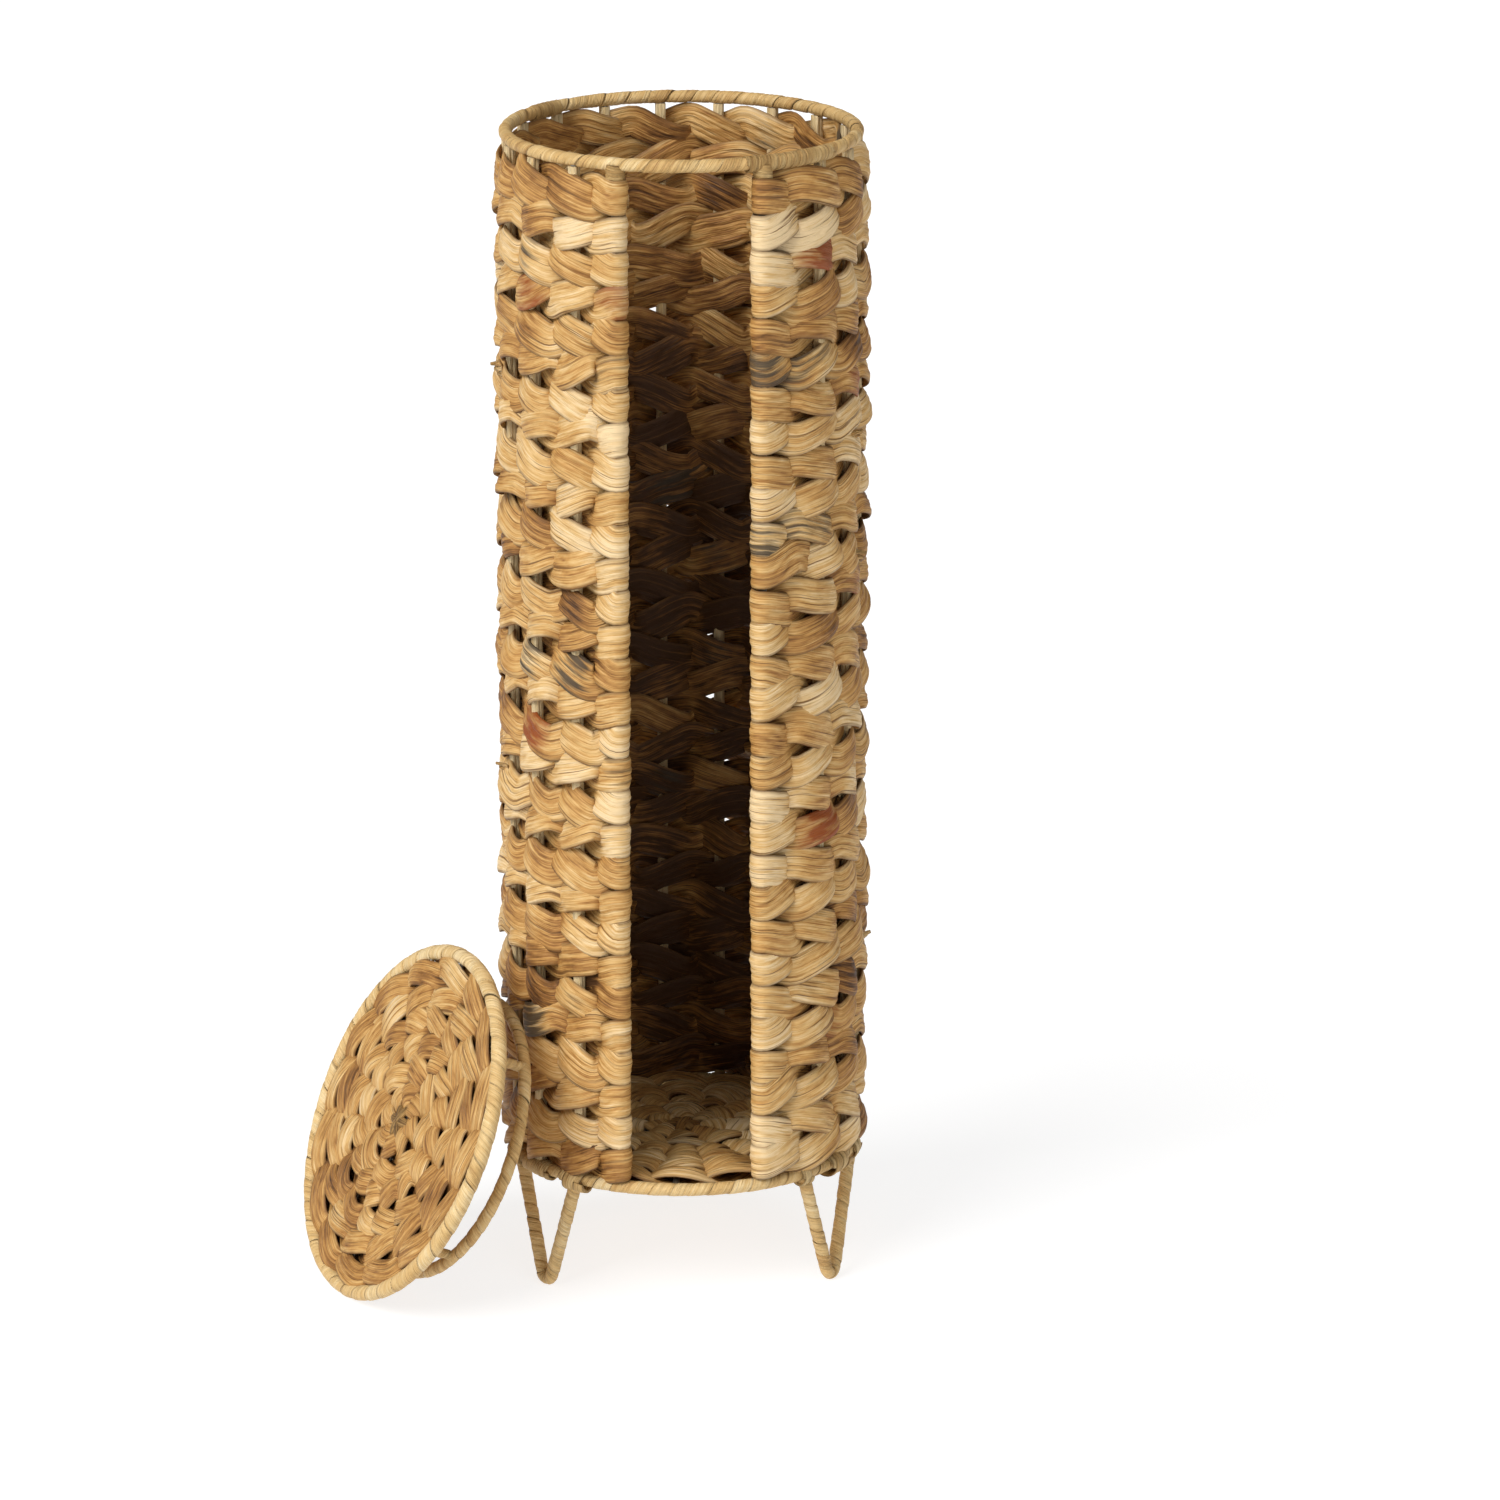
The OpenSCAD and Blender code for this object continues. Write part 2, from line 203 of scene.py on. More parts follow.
def zigzag(u):
    """A wave of straight runs that is 0 at whole numbers, 1 at 1/2 and -1 at 3/2."""
    return 1 - 2 * np.abs(np.mod(u + 0.5, 2) - 1)


def flattened(wave, power):
    """A wave that stays near its crests and crosses zero steeply: its size to a power below 1, signed."""
    return np.sign(wave) * np.abs(wave) ** power


def rolled(arrays, samples):
    """Arrays round a loop that start so many samples later, which moves the seam to where it is hidden."""
    return [np.roll(a, -samples, axis=0) for a in arrays]


class Skin:
    """Gathers strands into one mesh, with a UV map in metres along and across them, and their tones."""

    def __init__(self, seed=SEED):
        self.rng = np.random.default_rng(seed)
        self.points, self.tones = [], []
        self.corners, self.sizes, self.uv = [], [], []
        self.count = 0

    def strand(self, points, face, width, thick, tone, closed=False, crown=0.0, lean=0.0, pleat=0.42 * MM,
               fold=0.3 * MM, shade=0.0, step=STEP, sides=SIDES):
        """A flat strand whose face looks along face. Its skin is the line, plus x half widths across, plus on
        the face's side half the thickness times the section's height, a crown of 1 - x^2, two rows of rounded
        pleats, sqrt(sin^2 + PLEAT_ROUNDING), and a fold whose place drifts along it. lean turns the section
        about the line, in radians. shade darkens the back of the strand, or its face where it is negative.
        """
        told = dict(face=face, width=width, thick=thick, tone=tone, crown=crown, lean=lean, shade=shade)
        points, told, run = spaced(np.asarray(points, float), told, step, closed)
        rows = len(points)
        if closed:
            tangent = unit(np.roll(points, -1, 0) - np.roll(points, 1, 0))
        else:
            tangent = unit(np.gradient(points, axis=0))
        across = unit(np.cross(told["face"], tangent))
        out = np.cross(tangent, across)
        c, s = np.cos(told["lean"])[:, None], np.sin(told["lean"])[:, None]
        across, out = across * c - out * s, out * c + across * s

        x, y, around = flat_section(sides)
        inner = 1 - x ** 4
        drift = self.drift(run[:rows], closed, 3)
        broad = np.sqrt(np.sin(PLEAT_TURN * x + 1.2 * drift[0][:, None]) ** 2 + PLEAT_ROUNDING)
        fine = np.sqrt(np.sin(FINE_PLEAT_TURN * x + 2.5 * drift[1][:, None]) ** 2 + PLEAT_ROUNDING)
        waves = broad + 0.5 * fine - PLEAT_MEAN
        ledge = np.tanh((x - 0.8 * drift[2][:, None]) / 0.12)
        share = np.clip(told["width"] / FULL_WIDTH, 0.25, 1)[:, None]
        ridge = np.clip(0.62 + 0.6 * waves, 0, 1) * inner + x ** 4
        height = (0.5 * told["thick"][:, None] * y + told["crown"][:, None] * (1 - x * x)
                  + share * (pleat * waves * inner + fold * ledge * inner))
        skin = (points[:, None] + 0.5 * (told["width"][:, None] * x)[..., None] * across[:, None]
                + height[..., None] * out[:, None])
        # Painted shade: shade takes tone from the back of the strand, or from its face where it is negative
        tone = np.repeat(told["tone"][:, None], sides, axis=1)
        side = np.where(np.arange(sides) < sides // 2, -1, 1)
        tone[..., 0] -= np.clip(told["shade"][:, None] * side, 0, None)
        self.grid(skin, run, around * STREAK_HALF, tone, closed, ridge)

    def drift(self, run, closed, kinds):
        """Slow waves between about -1 and 1 along a strand: three cosines each, whole turns if closed."""
        length = max(run[-1], 1e-6)
        waves = []
        for _ in range(kinds):
            turns = self.rng.uniform(0.5, 3.0, 3) * length / (60 * MM)
            turns = np.maximum(np.round(turns), 1) if closed else turns
            phase = self.rng.uniform(0, 2 * np.pi, 3)
            waves.append(np.cos(2 * np.pi * turns * run[:, None] / length + phase).sum(1) / 1.8)
        return waves

    def grid(self, skin, run, around, tone, closed, ridge=1.0):
        """Adds a tube of points, rows along and columns around, its tones, and how far up a pleat each is."""
        rows, cols = skin.shape[:2]
        index = self.count + np.arange(rows * cols).reshape(rows, cols)
        ahead = np.roll(index, -1, 0) if closed else index[1:]
        here = index if closed else index[:-1]
        quads = np.stack([here, ahead, np.roll(ahead, -1, 1), np.roll(here, -1, 1)], -1)
        n = len(here)
        uv = np.empty(quads.shape + (2,))
        uv[..., 0, 0] = uv[..., 3, 0] = run[:n, None]
        uv[..., 1, 0] = uv[..., 2, 0] = run[1:n + 1, None]
        uv[..., 0, 1] = uv[..., 1, 1] = around[None, :-1]
        uv[..., 2, 1] = uv[..., 3, 1] = around[None, 1:]
        uv[..., 0] += self.rng.uniform(0, 10)
        self.points.append(skin.reshape(-1, 3))
        tone = tone if tone.ndim == 3 else np.repeat(tone[:, None], cols, axis=1)
        self.tones.append(np.c_[tone.reshape(-1, 3), (np.ones((rows, cols)) * ridge).ravel()])
        self.corners.append(quads.reshape(-1))
        self.sizes.append(np.full(n * cols, 4))
        self.uv.append(uv.reshape(-1, 2))
        if not closed:
            for cap in (index[0], index[-1][::-1]):
                self.corners.append(cap)
                self.sizes.append(np.array([cols]))
                self.uv.append(np.tile(uv[0, 0, 0], (cols, 1)))
        self.count += rows * cols

    def piece(self, name, material, body, slot, *replaced):
        """Makes the object, which rides on a body and stands for the CAD nodes it replaces."""
        points, tones = np.concatenate(self.points), np.concatenate(self.tones)
        corners, sizes, uv = (np.concatenate(a) for a in (self.corners, self.sizes, self.uv))
        mesh = bpy.data.meshes.new(name)
        mesh.vertices.add(len(points))
        mesh.vertices.foreach_set("co", points.astype(np.float32).ravel())
        mesh.loops.add(len(corners))
        mesh.loops.foreach_set("vertex_index", corners.astype(np.int32))
        mesh.polygons.add(len(sizes))
        mesh.polygons.foreach_set("loop_start", np.r_[0, np.cumsum(sizes)[:-1]].astype(np.int32))
        mesh.polygons.foreach_set("use_smooth", np.ones(len(sizes), bool))
        mesh.uv_layers.new(name="strand").data.foreach_set("uv", uv.astype(np.float32).ravel())
        tone = mesh.attributes.new("tone", "FLOAT_COLOR", "POINT")
        tone.data.foreach_set("color", tones.astype(np.float32).ravel())
        mesh.update(calc_edges=True)
        mesh.materials.append(material)
        obj = bpy.data.objects.new(name, mesh)
        bpy.context.scene.collection.objects.link(obj)
        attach(obj, body)
        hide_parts(*replaced)
        return obj


def tones(rng, count, base=0.5, spread=0.16, mould=0.03, rust=0.02):
    """Tone, mould and rust of so many lengths of strand: tones about base, and a few lengths marked."""
    return np.stack([
        np.clip(base + rng.normal(0, spread, count), 0, 1),
        (rng.random(count) < mould) * rng.uniform(0.6, 1, count),
        (rng.random(count) < rust) * rng.uniform(0.6, 1, count),
    ], 1)


def one_tone(rng, count, base):
    """A single tone near base, without marks, for every point of a short strand."""
    return np.tile(tones(rng, 1, base, 0.1, 0, 0)[0], (count, 1))


# Materials

def colour(code):
    """sRGB hex to linear RGBA."""
    parts = [int(code[i:i + 2], 16) / 255 for i in (1, 3, 5)]
    return [p / 12.92 if p <= 0.04045 else ((p + 0.055) / 1.055) ** 2.4 for p in parts] + [1.0]


def add(tree, kind, inputs=None, **settings):
    """Adds a node, sets what it is told, and links or sets its inputs, which are named or numbered."""
    made = tree.nodes.new(kind)
    for name, value in settings.items():
        setattr(made, name, value)
    for name, value in (inputs or {}).items():
        if isinstance(value, bpy.types.NodeSocket):
            tree.links.new(value, made.inputs[name])
        else:
            made.inputs[name].default_value = value
    return made


def new_material(name):
    """An empty material with a shader: the material, its node tree and the shader."""
    material = bpy.data.materials.new(name)
    material.use_nodes = True
    tree = material.node_tree
    tree.nodes.clear()
    shader = add(tree, "ShaderNodeBsdfPrincipled")
    add(tree, "ShaderNodeOutputMaterial", {"Surface": shader.outputs["BSDF"]})
    return material, tree, shader


def streaks(tree, uv, length_mm, width_mm, detail=3.0, shift=0.0):
    """Noise drawn out along the strand, with streaks of about the given length and width."""
    placed = add(tree, "ShaderNodeVectorMath", {0: uv, 1: (1 / (length_mm * MM), 1 / (width_mm * MM), 1),
                                                2: (shift, 2 * shift, 3 * shift)}, operation="MULTIPLY_ADD")
    noise = add(tree, "ShaderNodeTexNoise", {"Vector": placed.outputs[0], "Scale": 1.0, "Detail": detail,
                                             "Roughness": 0.6})
    return noise.outputs["Fac"]


def hyacinth(name, stops, roughness=0.6, veins=0.8, edge=0.75):
    """Dried water hyacinth, split and flattened: long pale and brown fibres, darker veins, edges that are
    darker partly in their own colour and partly by painted shade in the seams between strands, grey mould and
    rust marks, and a satin face that the fibres and wrinkles break up.

    The tone is a sum of fibres, bands, clouds, the strand's own tone less its painted shade, and the height of
    its pleats. It picks a colour from the stops. Streaks have the real strand's sizes, given here in
    millimetres:
    fibres 0.6 wide, veins about 1, bands and wrinkles 2 to 3, and clouds as wide as a strand.
    """
    material, tree, shader = new_material(name)
    uv = add(tree, "ShaderNodeUVMap", uv_map="strand").outputs[0]
    told = add(tree, "ShaderNodeAttribute", attribute_name="tone").outputs
    marks = add(tree, "ShaderNodeSeparateColor", {0: told["Color"]}).outputs
    fibre = streaks(tree, uv, 26, 0.6, 3.0)
    band = streaks(tree, uv, 30, 3.2, 2.0, 3.7)
    cloud = streaks(tree, uv, 16, 12, 3.0, 8.1)
    vein = streaks(tree, uv, 50, 1.1, 2.0, 5.3)
    spot = streaks(tree, uv, 30, 2.2, 4.0, 1.9)
    stain = streaks(tree, uv, 18, 4.0, 3.0, 6.6)
    wrinkle = streaks(tree, uv, 14, 1.9, 2.0, 4.4)

    # Each part of the tone with its weight, and a start that brings the sum to between 0 and 1
    place = -1.3
    parts = ((fibre, 1.125), (band, 0.6), (cloud, 0.75), (marks["Red"], 0.825), (told["Alpha"], 0.33))
    for part, weight in parts:
        summed = add(tree, "ShaderNodeMath", {0: part, 1: weight, 2: place}, operation="MULTIPLY_ADD")
        place = summed.outputs[0]
    ramp = add(tree, "ShaderNodeValToRGB", {"Fac": place})
    elements = ramp.color_ramp.elements
    while len(elements) < len(stops):
        elements.new(0.5)
    for element, (position, code) in zip(elements, stops):
        element.position = position
        element.color = colour(code)

    # From edge to edge of either face, inwards goes from 0 to 1 in the middle and back to 0
    side = add(tree, "ShaderNodeSeparateXYZ", {0: uv}).outputs["Y"]
    over = add(tree, "ShaderNodeMath", {0: side, 1: 1 / STREAK_HALF, 2: 1.0}, operation="MULTIPLY_ADD")
    inwards = add(tree, "ShaderNodeMath", {0: over.outputs[0], 1: 1.0}, operation="PINGPONG")
    # Darker strand edges, partly their own brown and partly painted shade in the seams between strands
    edge_colour_and_seam_shade = add(tree, "ShaderNodeMath", {0: cloud, 1: 0.25, 2: inwards.outputs[0]}, operation="MULTIPLY_ADD")
    mould = add(tree, "ShaderNodeMath", {0: marks["Green"], 1: spot}, operation="MULTIPLY")
    rust = add(tree, "ShaderNodeMath", {0: marks["Blue"], 1: stain}, operation="MULTIPLY")

    # How strongly each layer covers the last goes from before to after as its value goes from start to end
    surface = ramp.outputs["Color"]
    layers = (
        (vein, 0.58, 0.68, 0.0, veins, "#6e4a22"),
        (edge_colour_and_seam_shade.outputs[0], 0.1, 0.34, edge, 0.0, "#5c3d1d"),
        (mould.outputs[0], 0.35, 0.52, 0.0, 0.92, "#453a2c"),
        (rust.outputs[0], 0.2, 0.44, 0.0, 0.95, "#8a3f0a"))
    for value, start, end, before, after, tint in layers:
        cover = add(tree, "ShaderNodeMapRange", {"Value": value, "From Min": start, "From Max": end,
                                                 "To Min": before, "To Max": after}).outputs[0]
        mixed = add(tree, "ShaderNodeMix", {0: cover, 6: surface, 7: colour(tint)}, data_type="RGBA")
        surface = mixed.outputs[2]
    tree.links.new(surface, shader.inputs["Base Color"])

    coarse = add(tree, "ShaderNodeBump", {"Strength": 1.0, "Distance": 1.2 * MM, "Height": wrinkle})
    fine = add(tree, "ShaderNodeBump", {"Strength": 1.0, "Distance": 0.45 * MM, "Height": fibre,
                                        "Normal": coarse.outputs[0]})
    tree.links.new(fine.outputs[0], shader.inputs["Normal"])
    rough = add(tree, "ShaderNodeMapRange", {"Value": fibre, "To Min": roughness - 0.12,
                                             "To Max": roughness + 0.14})
    tree.links.new(rough.outputs[0], shader.inputs["Roughness"])
    shader.inputs["IOR"].default_value = 1.45
    shader.inputs["Specular IOR Level"].default_value = 0.4
    return material


# The twined strand is unsorted and has the widest range of browns, the wound one is picked for its even pale
# colour and is smoother, and the lashed one is darker and duller
WOVEN = hyacinth("dried_hyacinth_twined", (
    (0.0, "#4a2d12"), (0.26, "#92632f"), (0.48, "#bc8c4c"), (0.7, "#d2aa6c"), (1.0, "#e6ca9c")),
    veins=0.9, edge=0.9)
WRAPPED = hyacinth("dried_hyacinth_wound", (
    (0.0, "#7a5529"), (0.3, "#b08750"), (0.55, "#cfa96c"), (0.8, "#dcbc84"), (1.0, "#e8cf9f")),
    roughness=0.52, veins=0.35, edge=0.28)
LASHED = hyacinth("dried_hyacinth_lashed", (
    (0.0, "#4d3318"), (0.3, "#8a6838"), (0.55, "#b58e54"), (0.8, "#cba86e"), (1.0, "#dabd88")), edge=0.5)


def drawn_wire():
    """Drawn mild steel wire, left bare: a dull, faintly mottled grey, seen only in gaps of the strand."""
    material, tree, shader = new_material("drawn_steel_wire")
    place = add(tree, "ShaderNodeTexCoord").outputs["Object"]
    spots_per_mm = 0.9
    noise = add(tree, "ShaderNodeTexNoise", {"Vector": place, "Scale": spots_per_mm / MM, "Detail": 2.0})
    tint = add(tree, "ShaderNodeMix", {0: noise.outputs["Fac"], 6: colour("#77746f"), 7: colour("#98958f")},
               data_type="RGBA")
    tree.links.new(tint.outputs[2], shader.inputs["Base Color"])
    shader.inputs["Metallic"].default_value = 1.0
    shader.inputs["Roughness"].default_value = 0.42
    return material


# Wall

# How far a float stands off the frame's circle, and off the post that it turns round
TWIST_OUT = 3.9 * MM
BAND_OUT = 4.75 * MM
# How far a float climbs above and falls below the middle of its course
TWIST_RISE = 5.5 * MM
# How far a float runs on past each upright, and how far from a post its hold on the strand reaches, both as a
# share of the way between two uprights, and the share of the unevenness that the post leaves
SHINGLE = 0.1
POST_REACH = 0.3
POST_LOOSENESS = 0.25
# Odd courses are raised and even ones lowered by this, and the last one is raised towards the upper ring
PAIR_SHIFT = 0.6 * MM
TOP_LIFT = 1.2 * MM
# Turn of a strand about its line that puts its lower edge outwards, in radians
EDGE_OUT = 0.16
# Width of a strand where it turns round a post, in course heights, and its thickness there
BAND_WIDTH = 1.04
BAND_THICK = 1.7 * MM
# Thickness of a strand where it swaps sides, how much thinner it is where it stands out most, and its crown
FLOAT_THICK = 3.0 * MM
FLOAT_THINNING = 0.8 * MM
FLOAT_CROWN = 0.35 * MM
# How uneven the twining is: spreads of where a float swaps sides, its height and its turn about its line, and
# ranges of how far it stands out, how steeply it climbs and how wide it is in course heights
SWAP_SPREAD = 0.12
HEIGHT_SPREAD_MM = 1.15
LEAN_SPREAD = 0.1
OUT_RANGE_MM = (-0.5, 0.7)
CLIMB_RANGE = (0.5, 1.25)
WIDTH_RANGE = (0.88, 1.18)
# Range of the courses' tones, spread within a course, and how much paler the strand is round a post. Shares of
# its lengths that have mould and rust marks
COURSE_TONES = (0.36, 0.62)
TONE_SPREAD = 0.2
POST_PALER = 0.12
MOULD_SHARE = 0.05
RUST_SHARE = 0.008
# Painted shade: tone taken from the side that faces the axis and from wherever a strand lies inside the frame's
# circle, and the number of upper courses over which this painted shade grows, because light falls in from above
INNER_SHADE = 0.46
DEEP_SHADE = 0.26
LIT_COURSES = 9
# Marked lengths of strand, for each course the upright counted from the right post, the mark and its strength
MOULD, RUST = 1, 2
MARKS = {
    7: ((1, MOULD, 0.5),),
    12: ((14, MOULD, 0.6),),
    16: ((15, MOULD, 1.0), (14, MOULD, 0.9)),
    18: ((2, RUST, 0.5),),
    20: ((0, MOULD, 0.9), (1, MOULD, 0.8)),
    24: ((2, RUST, 0.7),),
    25: ((0, MOULD, 1.0), (1, MOULD, 0.7)),
    27: ((16, RUST, 0.6),),
    28: ((1, RUST, 1.0), (14, MOULD, 0.8))}


def wall_course(number, name):
    """One course: a single strand that runs round the outside in and out of the uprights, turns round the
    left post and comes back on the other side of every upright. With u counting uprights from the right post,
    and m from the nearer post, it stands TWIST_OUT cos(pi (m + SHINGLE)), flattened, off the frame's circle
    and TWIST_RISE zigzag(u) off its own height. The way back is the same with both turned over, so the two
    runs twist half a turn from upright to upright, and each float runs on past its neighbours' ends. The
    lower edge stands out a little, so that courses lie on each other.
    """
    skin = Skin(SEED + number)
    rng = skin.rng
    stops = np.r_[RIGHT_POST, UPRIGHTS, LEFT_POST]
    turns = len(stops) - 1
    nodes = 2 * turns + 2
    at = np.arange(nodes * PER_STOP) / PER_STOP
    there, back = at < turns, (at >= turns + 1) & (at < nodes - 1)
    heading = np.where(there, 1, np.where(back, -1, 0))
    odd = 1 if number % 2 else -1

    # Where it is, and which way its face looks: outwards, inwards on the way back, and round the posts
    u = np.where(there, at, np.where(back, nodes - 1 - at, np.where(at < turns + 1, turns, 0)))
    outward, around = plan(np.interp(u, np.arange(turns + 1), stops))
    way = np.where(there, 1.0, -1.0)
    wrap = np.where(at < turns + 1, at - turns, at - (nodes - 1)) * np.pi
    sign = np.where(at < turns + 1, 1.0, -1.0)[:, None]
    turned = sign * (np.cos(wrap)[:, None] * outward + np.sin(wrap)[:, None] * around)
    face = np.where((there | back)[:, None], way[:, None] * outward, turned)
    from_post = np.minimum(u, turns - u)
    at_post = np.exp(-(from_post / POST_REACH) ** 2)
    posts = np.isin(np.arange(nodes), (0, turns, turns + 1, nodes - 1))
    loose = np.where(posts, POST_LOOSENESS, 1.0)

    # Its line
    ahead = SHINGLE + eased(rng.normal(0, SWAP_SPREAD, turns + 2), u)
    phase = from_post + ahead * np.minimum(1, 2 * from_post)
    swing = flattened(np.cos(np.pi * phase), 0.8)
    off = (TWIST_OUT + (BAND_OUT - TWIST_OUT) * at_post) * swing
    off = off + swing * eased(rng.uniform(*OUT_RANGE_MM, nodes) * loose * MM, at)
    climb = odd * heading * zigzag(u)
    rise = TWIST_RISE * climb * eased(rng.uniform(*CLIMB_RANGE, nodes), at)
    rise = rise + eased(rng.normal(0, HEIGHT_SPREAD_MM, nodes) * loose * MM, at)
    low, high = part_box(name)
    middle = (low.z + high.z) / 2 + PAIR_SHIFT * odd * (1 - 0.8 * at_post)
    points = FRAME_R * outward + off[:, None] * face
    points[:, 2] += middle + rise + (TOP_LIFT if number == len(WALL_NODES) else 0)
    points = smoothed(points, 1.8)

    # Its section and tones
    wide = COURSE_H * eased(np.where(posts, BAND_WIDTH, rng.uniform(*WIDTH_RANGE, nodes)), at)
    thick = (FLOAT_THICK - FLOAT_THINNING * np.abs(swing)) * (1 - at_post) + BAND_THICK * at_post
    crown = FLOAT_CROWN * swing * (1 - at_post)
    lean = EDGE_OUT * heading * (1 - at_post) + eased(rng.normal(0, LEAN_SPREAD, nodes) * loose, at)
    marks = tones(rng, nodes, rng.uniform(*COURSE_TONES), TONE_SPREAD, MOULD_SHARE, RUST_SHARE)
    for stop, kind, strength in MARKS.get(number, ()):
        marks[nodes - 1 - stop if stop % 2 else stop, kind] = strength
    marks[posts, 0] += POST_PALER
    marks[nodes - 1], marks[turns + 1] = marks[0], marks[turns]
    tone = eased(marks, at)
    # Painted shade on the inward side and on lengths that lie inside the frame's circle, none on the top course
    sunk = min(1, (len(WALL_NODES) - number) / LIT_COURSES)
    tone[:, 0] -= sunk * DEEP_SHADE * flattened(np.clip(-way * swing * (there | back), 0, 1), 0.5)
    shade = sunk * INNER_SHADE * heading * (1 - at_post)

    told = rolled((points, face, wide, thick, tone, crown, lean, shade), PER_STOP)
    skin.strand(*told[:5], closed=True, crown=told[5], lean=told[6], shade=told[7])
    return skin.piece(f"twined_course_{number:02d}", WOVEN, "holder", "woven_strand", name)


for number, name in enumerate(WALL_NODES, 1):
    wall_course(number, name)


# Discs of the base and the lid

def spoke_angles(node, centre, axis):
    """Angles of a disc's wires at its edge, in the measure that disc_course uses."""
    first, second = square_to(axis)
    points = node_points(node) - centre
    a, b = points @ first, points @ second
    reach = np.hypot(a, b)
    edge = reach > 0.93 * reach.max()
    return middles(np.degrees(np.arctan2(b[edge], a[edge])))


def disc_course(skin, centre, axis, radius, spokes, width, slant, out, rise, base=0.5, gauge=1.0,
                spread=0.16):
    """One course of a disc: two closed strands that swap sides of it from spoke to spoke, as in the wall.

    With m counting spokes, a strand stands out cos(pi (m - SHINGLE)), flattened, off the disc's middle plane
    and rise zigzag(m) off its own radius, and the other one the same with both turned over. gauge scales
    thickness and unevenness.
    """
    rng = skin.rng
    first, second = square_to(axis)
    turns = len(spokes)
    at = np.arange(turns * PER_STOP) / PER_STOP
    phase = at - SHINGLE + eased(rng.normal(0, 0.07, turns), at)
    b = np.radians(np.interp(at, np.arange(-1, turns + 2), np.r_[spokes[-1] - 360, spokes, spokes[:2] + 360]))
    outward = np.cos(b)[:, None] * first + np.sin(b)[:, None] * second
    face = np.tile(axis, (len(at), 1))
    for strand in (1, -1):
        swing = strand * flattened(np.cos(np.pi * phase), 0.75)
        climb = strand * slant * zigzag(at)
        off = out * swing + swing * eased(rng.uniform(-0.3, 0.5, turns) * MM * gauge, at)
        reach = radius + rise * climb + eased(rng.normal(0, 0.5, turns) * MM * gauge, at)
        points = smoothed(centre + reach[:, None] * outward + off[:, None] * axis, 2.0)
        wide = width * eased(rng.uniform(0.92, 1.12, turns), at)
        thick = (3.0 - 0.9 * np.abs(swing)) * MM * gauge
        crown = 0.4 * MM * gauge * swing
        lean = eased(rng.normal(0.03, 0.08, turns), at)
        tone = eased(tones(rng, turns, base, spread, 0.015, 0), at)
        # Painted shade where a strand dives beneath the other strand, on the side that is covered
        shade = 0.5 * flattened(swing, 0.5)
        told = rolled((points, face, wide, thick, tone, crown, lean, shade), DISC_SEAM)
        skin.strand(*told[:5], closed=True, crown=told[5], lean=told[6], shade=told[7], sides=28,
                    pleat=0.3 * MM, fold=0.25 * MM)


def knot(skin, centre, axis, radius, out):
    """The start of a disc: three short strands crossed over each other on both of its sides."""
    rng = skin.rng
    first, second = square_to(axis)
    t = np.linspace(-1, 1, 13)
    for k in range(6):
        a = np.pi * k / 3 + rng.normal(0, 0.15)
        along = np.cos(a) * first + np.sin(a) * second
        side = 1 if k % 2 else -1
        lift = side * (out - 1.6 * MM) * (1 - 0.75 * t ** 4) * (1 - 0.12 * k / 6)
        points = centre + (radius * 1.15 * t)[:, None] * along + lift[:, None] * axis
        skin.strand(points, np.tile(side * axis, (len(t), 1)), radius * 0.75 * (1 - 0.4 * t ** 2), 2.2 * MM,
                    one_tone(rng, len(t), 0.2), crown=0.5 * MM, step=1.2 * MM, sides=16)


# Both discs have a knot and this many courses, and the lid is the finer weave. Each disc has its knot's radius,
# how far that stands out, the width of its strands in course widths, and its floats and tones
DISC_COURSES = 6
BASE_KNOT_R = 8.5 * MM
BASE_KNOT_OUT = 5.2 * MM
BASE_OVERLAP = 1.24
BASE_WEAVE = dict(out=3.3 * MM, rise=2.8 * MM, base=0.58)
LID_KNOT_R = 7 * MM
LID_KNOT_OUT = 4.4 * MM
LID_OVERLAP = 1.13
LID_WEAVE = dict(out=2.3 * MM, rise=3.4 * MM, base=0.4, gauge=0.9, spread=0.13)
# From the circle of the rim's wire in to the edge of the lid's weave
LID_EDGE_IN = 3.8 * MM


def base():
    """The woven base: a small knot and courses out to the wall, with the wires of the base as spokes."""
    low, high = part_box("base_weave")
    centre = np.array([0, 0, (low.z + high.z) / 2])
    spokes = spoke_angles("base_wires", centre, UP)
    doubled = np.sort(np.r_[spokes, spokes + 180 / len(spokes)])
    pitch = (high.x - BASE_KNOT_R) / DISC_COURSES
    skin = Skin(SEED + 60)
    for i in range(DISC_COURSES):
        disc_course(skin, centre, UP, BASE_KNOT_R + (i + 0.5) * pitch, doubled if i > 1 else spokes,
                    pitch * BASE_OVERLAP, 1 if i % 2 else -1, **BASE_WEAVE)
    knot(skin, centre, UP, BASE_KNOT_R, BASE_KNOT_OUT)
    return skin.piece("woven_base", WOVEN, "holder", "woven_strand", "base_weave")


base()

LID_CENTRE, LID_AXIS, LID_R, _ = ring_of("lid_rim")


def lid():
    """The lid's courses and knot, woven round its spokes. Each CAD course is replaced by its strands."""
    spokes = spoke_angles("lid_spokes", LID_CENTRE, LID_AXIS)
    pitch = (LID_R - LID_EDGE_IN - LID_KNOT_R) / DISC_COURSES
    for i in range(DISC_COURSES):
        skin = Skin(SEED + 70 + i)
        disc_course(skin, LID_CENTRE, LID_AXIS, LID_KNOT_R + (i + 0.5) * pitch,
                    spokes if i > 1 else spokes[::2], pitch * LID_OVERLAP, 1 if i % 2 else -1, **LID_WEAVE)
        skin.piece(f"lid_twined_course_{i + 1}", WOVEN, "lid", "woven_strand", f"lid_course_{i + 1}")
    skin = Skin(SEED + 80)
    knot(skin, LID_CENTRE, LID_AXIS, LID_KNOT_R, LID_KNOT_OUT)
    skin.piece("lid_start_knot", LASHED, "lid", "lashing_strand", "lid_knot")


lid()


# Windings

